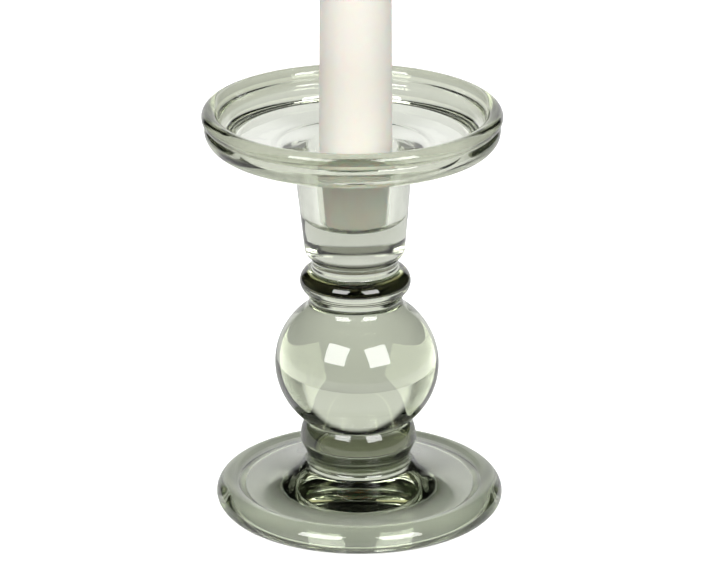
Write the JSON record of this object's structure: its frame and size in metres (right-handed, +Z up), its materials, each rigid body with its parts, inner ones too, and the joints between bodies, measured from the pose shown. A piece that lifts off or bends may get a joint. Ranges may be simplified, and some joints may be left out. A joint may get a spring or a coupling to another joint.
{
  "type": "glass candlestick",
  "caption": "Smoky glass candlestick with a drip pan over a tapered candle socket, a ball knop between rings and a round rolled foot, holding a wax dinner candle.",
  "frame": {"origin": "centre of the ring that the foot rests on", "axes": "+Z up along the candlestick's axis of revolution; X and Y are free because the object is turned"},
  "size_m": [0.09, 0.09, 0.3025],
  "materials": {
    "smoky_glass": "clear glass tinted smoky grey-green, fire polished",
    "candle_wax": "ivory candle wax, satin and slightly translucent",
    "wick_cotton": "braided unburnt cotton"
  },
  "bodies": {
    "candlestick": {"foot": "smoky_glass", "lower_ring": "smoky_glass", "ball_knop": "smoky_glass", "upper_ring": "smoky_glass", "candle_socket": "smoky_glass", "drip_pan": "smoky_glass"},
    "candle": {"candle": "candle_wax", "wick": "wick_cotton"}
  },
  "joints": [
    {"name": "candle_lift", "type": "slide", "parent": "candlestick", "child": "candle", "axis": [0, 0, 1], "range_m": [0, 0.045]}
  ]
}
